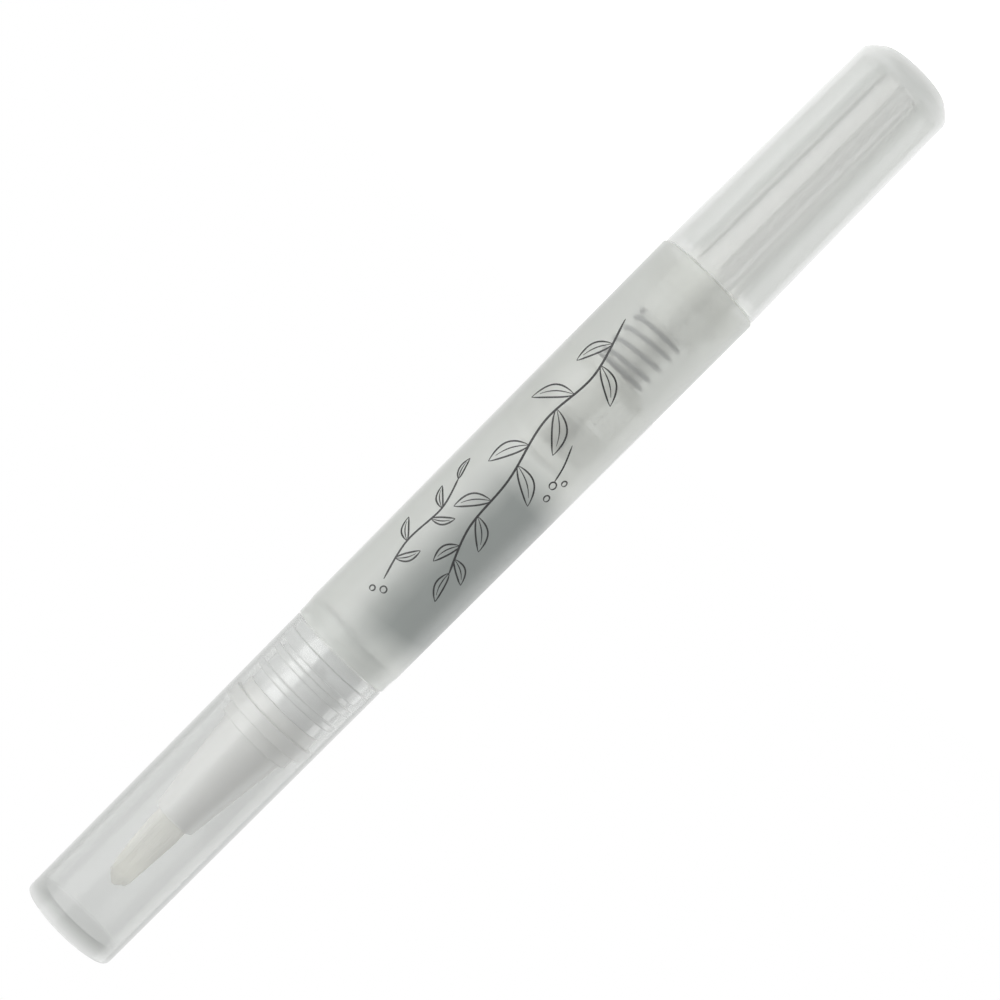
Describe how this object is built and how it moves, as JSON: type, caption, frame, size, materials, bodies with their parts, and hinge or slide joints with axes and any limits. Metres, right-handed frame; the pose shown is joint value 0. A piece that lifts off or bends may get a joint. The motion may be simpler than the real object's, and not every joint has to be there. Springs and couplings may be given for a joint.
{
  "type": "nail oil pen",
  "caption": "Twist-up nail oil pen: a frosted barrel with an oil chamber, a brush under a push-on cap, and a rear knob whose clicking screw drive pushes a piston.",
  "frame": {"origin": "centre of the knob's flat end, on the surface that the pen stands on", "axes": "+Z along the pen's axis from the knob towards the cap; the pen is round, and +X is a radius through one of the nut's grooves and one of the knob's ribs"},
  "size_m": [0.013, 0.013, 0.1276],
  "materials": {
    "frosted_shell": "frosted translucent",
    "clear_shell": "milky translucent, glossy outside",
    "clear_inner": "clear translucent",
    "natural_inner": "natural uncoloured, semi-matte",
    "white_inner": "opaque white, semi-matte",
    "bristles": "cream nylon bristles",
    "spring_steel": "drawn stainless wire"
  },
  "bodies": {
    "barrel": {"barrel": "frosted_shell", "neck": "natural_inner", "ferrule": "white_inner", "brush_tuft": "bristles", "feed_tube": "clear_inner", "thread_nut": "clear_inner", "end_collar": "clear_inner"},
    "cap": {"cap": "frosted_shell"},
    "knob": {"knob": "clear_shell", "driver_tube": "natural_inner", "ratchet_ring": "white_inner", "click_spring": "spring_steel"},
    "spindle": {"spindle": "natural_inner"},
    "piston": {"piston": "natural_inner"}
  },
  "joints": [
    {"name": "cap_pull", "type": "slide", "parent": "barrel", "child": "cap", "axis": [0, 0, 1], "range_m": [0, 0.045]},
    {"name": "knob_turn", "type": "hinge", "parent": "barrel", "child": "knob", "pos_m": [0, 0, 0], "axis": [0, 0, 1], "range_deg": [0, 7200]},
    {"name": "spindle_feed", "type": "slide", "parent": "knob", "child": "spindle", "axis": [0, 0, 1], "range_m": [0, 0.0261]},
    {"name": "piston_feed", "type": "slide", "parent": "barrel", "child": "piston", "axis": [0, 0, 1], "range_m": [0, 0.0261]}
  ],
  "couplings": [
    {"joint": "spindle_feed", "follows": "knob_turn", "m_per_rad": 0.0002069},
    {"joint": "piston_feed", "follows": "knob_turn", "m_per_rad": 0.0002069}
  ]
}
